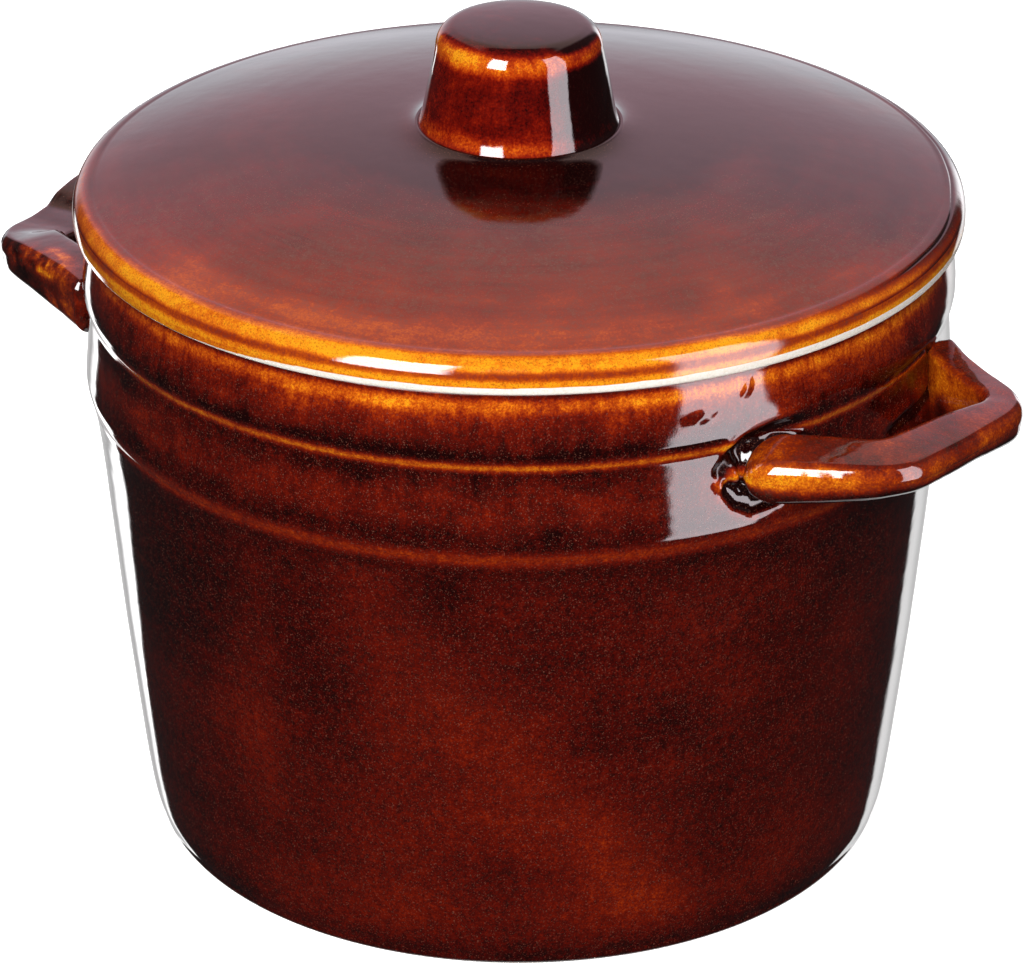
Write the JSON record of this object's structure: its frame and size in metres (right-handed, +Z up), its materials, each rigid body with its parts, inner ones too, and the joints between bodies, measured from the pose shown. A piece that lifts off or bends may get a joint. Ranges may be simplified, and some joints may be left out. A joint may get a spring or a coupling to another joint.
{
  "type": "fermentation crock",
  "caption": "Round brown-glazed stoneware fermentation crock with luted loop handles, a domed lift-off lid with a flared knob, and half-moon pressing weights inside.",
  "frame": {"origin": "centre of the foot, on the surface the crock stands on", "axes": "+Z up through the knob; +X towards the right handle; both handles stand 7.3 degrees from X towards -Y"},
  "size_m": [0.3202, 0.2512, 0.2414],
  "materials": {
    "crock_glaze": "glossy transparent brown glaze, amber where it is thin on edges and raised rings, bare clay on the rim and foot",
    "handle_glaze": "glossy brown glaze, amber along the edges, near black in the joint hollows",
    "lid_glaze": "glossy brown glaze with fine speckle and brush streaks, amber at the rim",
    "knob_glaze": "glossy dark brown glaze, amber at the top edge and foot",
    "weight_clay": "unglazed pale stoneware, finely gritted"
  },
  "bodies": {
    "crock": {"crock_body": "crock_glaze", "handle_right": "handle_glaze", "handle_left": "handle_glaze"},
    "lid": {"lid_plate": "lid_glaze", "lid_knob": "knob_glaze"},
    "weight_a": {"weight_half_a": "weight_clay"},
    "weight_b": {"weight_half_b": "weight_clay"}
  },
  "joints": [
    {"name": "lid_lift", "type": "slide", "parent": "crock", "child": "lid", "axis": [0, 0, 1], "range_m": [0, 0.25]},
    {"name": "weight_a_lift", "type": "slide", "parent": "crock", "child": "weight_a", "axis": [0, 0, 1], "range_m": [0, 0.145]},
    {"name": "weight_b_lift", "type": "slide", "parent": "crock", "child": "weight_b", "axis": [0, 0, 1], "range_m": [0, 0.145]}
  ]
}
